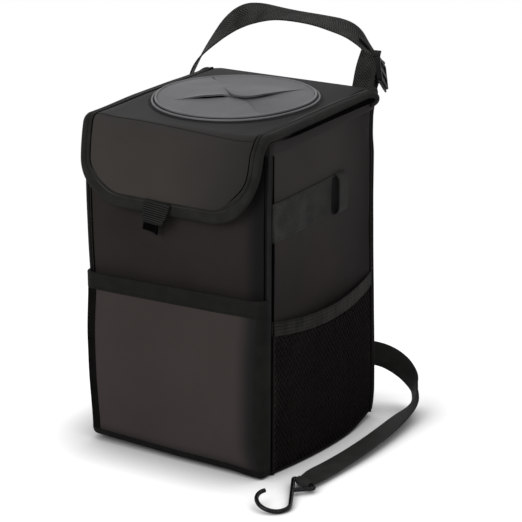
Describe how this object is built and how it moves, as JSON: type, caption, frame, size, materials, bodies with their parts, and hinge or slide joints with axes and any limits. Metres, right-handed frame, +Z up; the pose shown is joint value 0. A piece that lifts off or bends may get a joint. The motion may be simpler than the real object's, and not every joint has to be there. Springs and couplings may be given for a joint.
{
  "type": "car trash bin",
  "caption": "Soft-sided square car bin with a hinged lid and flap, a petal opening, front and net side pockets, a carry strap and a strap with a wire hook.",
  "frame": {"origin": "centre of the underside of the base", "axes": "+Z up, the front with the flap and pocket faces -Y, the hook strap lies on the +X side"},
  "size_m": [0.2642, 0.3034, 0.358],
  "materials": {
    "shell_fabric": "matte coated cloth",
    "lid_fabric": "matte coated cloth",
    "binding_tape": "smooth tape with a slight sheen",
    "liner_film": "matte film",
    "pocket_mesh": "open net",
    "elastic": "ribbed elastic",
    "webbing": "woven webbing",
    "closure": "hook and loop",
    "ring_piping": "soft satin",
    "petal_leather": "soft satin",
    "slider_plastic": "moulded plastic",
    "hook_wire": "gloss black wire"
  },
  "bodies": {
    "bin": {"front_panel": "shell_fabric", "back_panel": "shell_fabric", "left_panel": "shell_fabric", "right_panel": "shell_fabric", "base_panel": "shell_fabric", "front_pocket": "shell_fabric", "liner": "liner_film", "rim_binding": "binding_tape", "hinge_tape": "binding_tape", "front_pocket_binding": "binding_tape", "front_left_piping": "binding_tape", "front_right_piping": "binding_tape", "back_left_piping": "binding_tape", "back_right_piping": "binding_tape", "right_mesh_pocket": "pocket_mesh", "right_pocket_elastic": "elastic", "right_side_band": "webbing", "right_band_keeper": "webbing", "left_mesh_pocket": "pocket_mesh", "left_pocket_elastic": "elastic", "left_side_band": "webbing", "left_band_keeper": "webbing", "carry_strap": "webbing", "hook_strap": "webbing", "closure_loop_pad": "closure", "strap_slider": "slider_plastic"},
    "lid": {"lid_panel": "lid_fabric", "lid_binding": "binding_tape", "opening_ring": "ring_piping", "opening_petals": "petal_leather", "closure_hook_pad": "closure", "pull_tab": "webbing"},
    "hook": {"strap_hook": "hook_wire"}
  },
  "joints": [
    {"name": "lid_hinge", "type": "hinge", "parent": "bin", "child": "lid", "pos_m": [0, 0.0904, 0.29974], "axis": [-1, 0, 0], "range_deg": [0, 95]},
    {"name": "hook_swing", "type": "hinge", "parent": "bin", "child": "hook", "pos_m": [0.1295, -0.0925, 0.0046], "axis": [-0.9663, 0.2503, 0.0601], "range_deg": [0, 110]}
  ]
}
